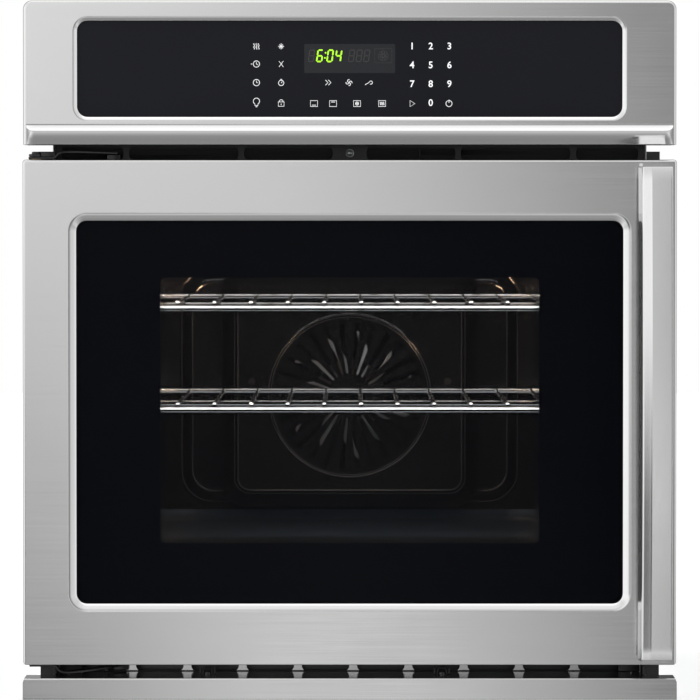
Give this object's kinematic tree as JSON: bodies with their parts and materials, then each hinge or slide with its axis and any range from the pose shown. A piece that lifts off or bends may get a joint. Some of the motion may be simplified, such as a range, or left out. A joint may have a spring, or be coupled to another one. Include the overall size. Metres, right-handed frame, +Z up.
{
  "type": "wall oven",
  "caption": "Built-in electric wall oven with a left-hinged side-swing door, full-height vertical handle, touch control panel, convection cavity and sliding racks.",
  "frame": {"origin": "the middle of the base pan's lower front edge, on the shelf, in the plane of the cabinet face", "axes": "+X to the right seen from the front, +Y into the cabinet, +Z up; the door and panel face -Y"},
  "size_m": [0.689, 0.644, 0.7355],
  "materials": {
    "stainless": "brushed along X",
    "galvanised": "zinc-coated sheet, dull",
    "black_paint": "satin black",
    "enamel": "black porcelain enamel with fine specks",
    "element": "dark oxide on a metal sheath",
    "black_glass": "black, fine satin grain",
    "door_glass": "glossy, black border round a tinted window",
    "clear_glass": "clear",
    "rack_chrome": "bright plated wire",
    "fan_metal": "plain sheet",
    "motor": "satin",
    "black_plastic": "moulded",
    "white_plastic": "moulded",
    "board": "printed board with parts",
    "glass_fibre": "glass-fibre blanket",
    "gasket": "woven glass-fibre cord",
    "brass": "sintered bush"
  },
  "bodies": {
    "case": {"base_pan": "galvanised", "left_side_panel": "galvanised", "right_side_panel": "galvanised", "top_cover": "galvanised", "rear_cover": "galvanised", "front_frame": "enamel", "door_gasket": "gasket", "upper_vent_strip": "black_paint", "lower_vent_strip": "stainless", "bottom_trim": "stainless", "left_side_trim": "black_paint", "right_side_trim": "black_paint", "top_hinge_bracket": "black_paint", "bottom_hinge_bracket": "black_paint", "cavity_left_wall": "enamel", "cavity_right_wall": "enamel", "cavity_floor": "enamel", "cavity_ceiling": "enamel", "cavity_back": "enamel", "fan_baffle": "enamel", "convection_element": "element", "broil_element": "element", "element_clips": "galvanised", "bake_element": "element", "insulation": "glass_fibre", "lamp_lenses": "clear_glass", "lamp_housings": "galvanised", "lamp_bulbs": "clear_glass", "temperature_sensor": "element", "probe_socket": "stainless", "convection_motor": "motor", "divider_plate": "galvanised", "blower_housing": "galvanised", "blower_motor": "motor", "blower_duct": "galvanised", "relay_board": "board", "conduit_gland": "stainless", "control_panel": "stainless", "control_glass": "black_glass", "control_board": "board", "control_tray": "galvanised", "latch_motor": "motor", "door_switch": "black_plastic", "body_screws": "galvanised"},
    "fan": {"convection_fan": "fan_metal"},
    "blower": {"blower_wheel": "fan_metal"},
    "latch": {"latch_hook": "stainless"},
    "plunger": {"switch_plunger": "white_plastic"},
    "low_rack": {"lower_rack": "rack_chrome"},
    "high_rack": {"upper_rack": "rack_chrome"},
    "door": {"door_skin": "stainless", "door_outer_glass": "door_glass", "door_mid_glass": "clear_glass", "door_inner_glass": "clear_glass", "window_frame": "galvanised", "door_liner": "enamel", "door_insulation": "glass_fibre", "handle_bar": "stainless", "handle_posts": "stainless", "door_bushes": "brass"}
  },
  "joints": [
    {"name": "door_swing", "type": "hinge", "parent": "case", "child": "door", "pos_m": [-0.33, -0.022, 0.281], "axis": [0, 0, -1], "range_deg": [0, 115]},
    {"name": "low_rack_slide", "type": "slide", "parent": "case", "child": "low_rack", "axis": [0, -1, 0], "range_m": [0, 0.2]},
    {"name": "high_rack_slide", "type": "slide", "parent": "case", "child": "high_rack", "axis": [0, -1, 0], "range_m": [0, 0.2]},
    {"name": "plunger_travel", "type": "slide", "parent": "case", "child": "plunger", "axis": [0, -1, 0], "range_m": [0, 0.004]},
    {"name": "latch_turn", "type": "hinge", "parent": "case", "child": "latch", "pos_m": [0.3, 0.034, 0.3], "axis": [1, 0, 0], "range_deg": [0, 11]},
    {"name": "fan_spin", "type": "hinge", "parent": "case", "child": "fan", "pos_m": [0, 0.46, 0.283], "axis": [0, 1, 0], "continuous": true},
    {"name": "blower_spin", "type": "hinge", "parent": "case", "child": "blower", "pos_m": [0.06, 0.33, 0.58], "axis": [0, 0, 1], "continuous": true}
  ],
  "couplings": [
    {"joint": "low_rack_slide", "follows": "door_swing", "m_per_rad": 0.099644},
    {"joint": "high_rack_slide", "follows": "door_swing", "m_per_rad": 0.099644},
    {"joint": "plunger_travel", "follows": "door_swing", "m_per_rad": 0.001992}
  ]
}
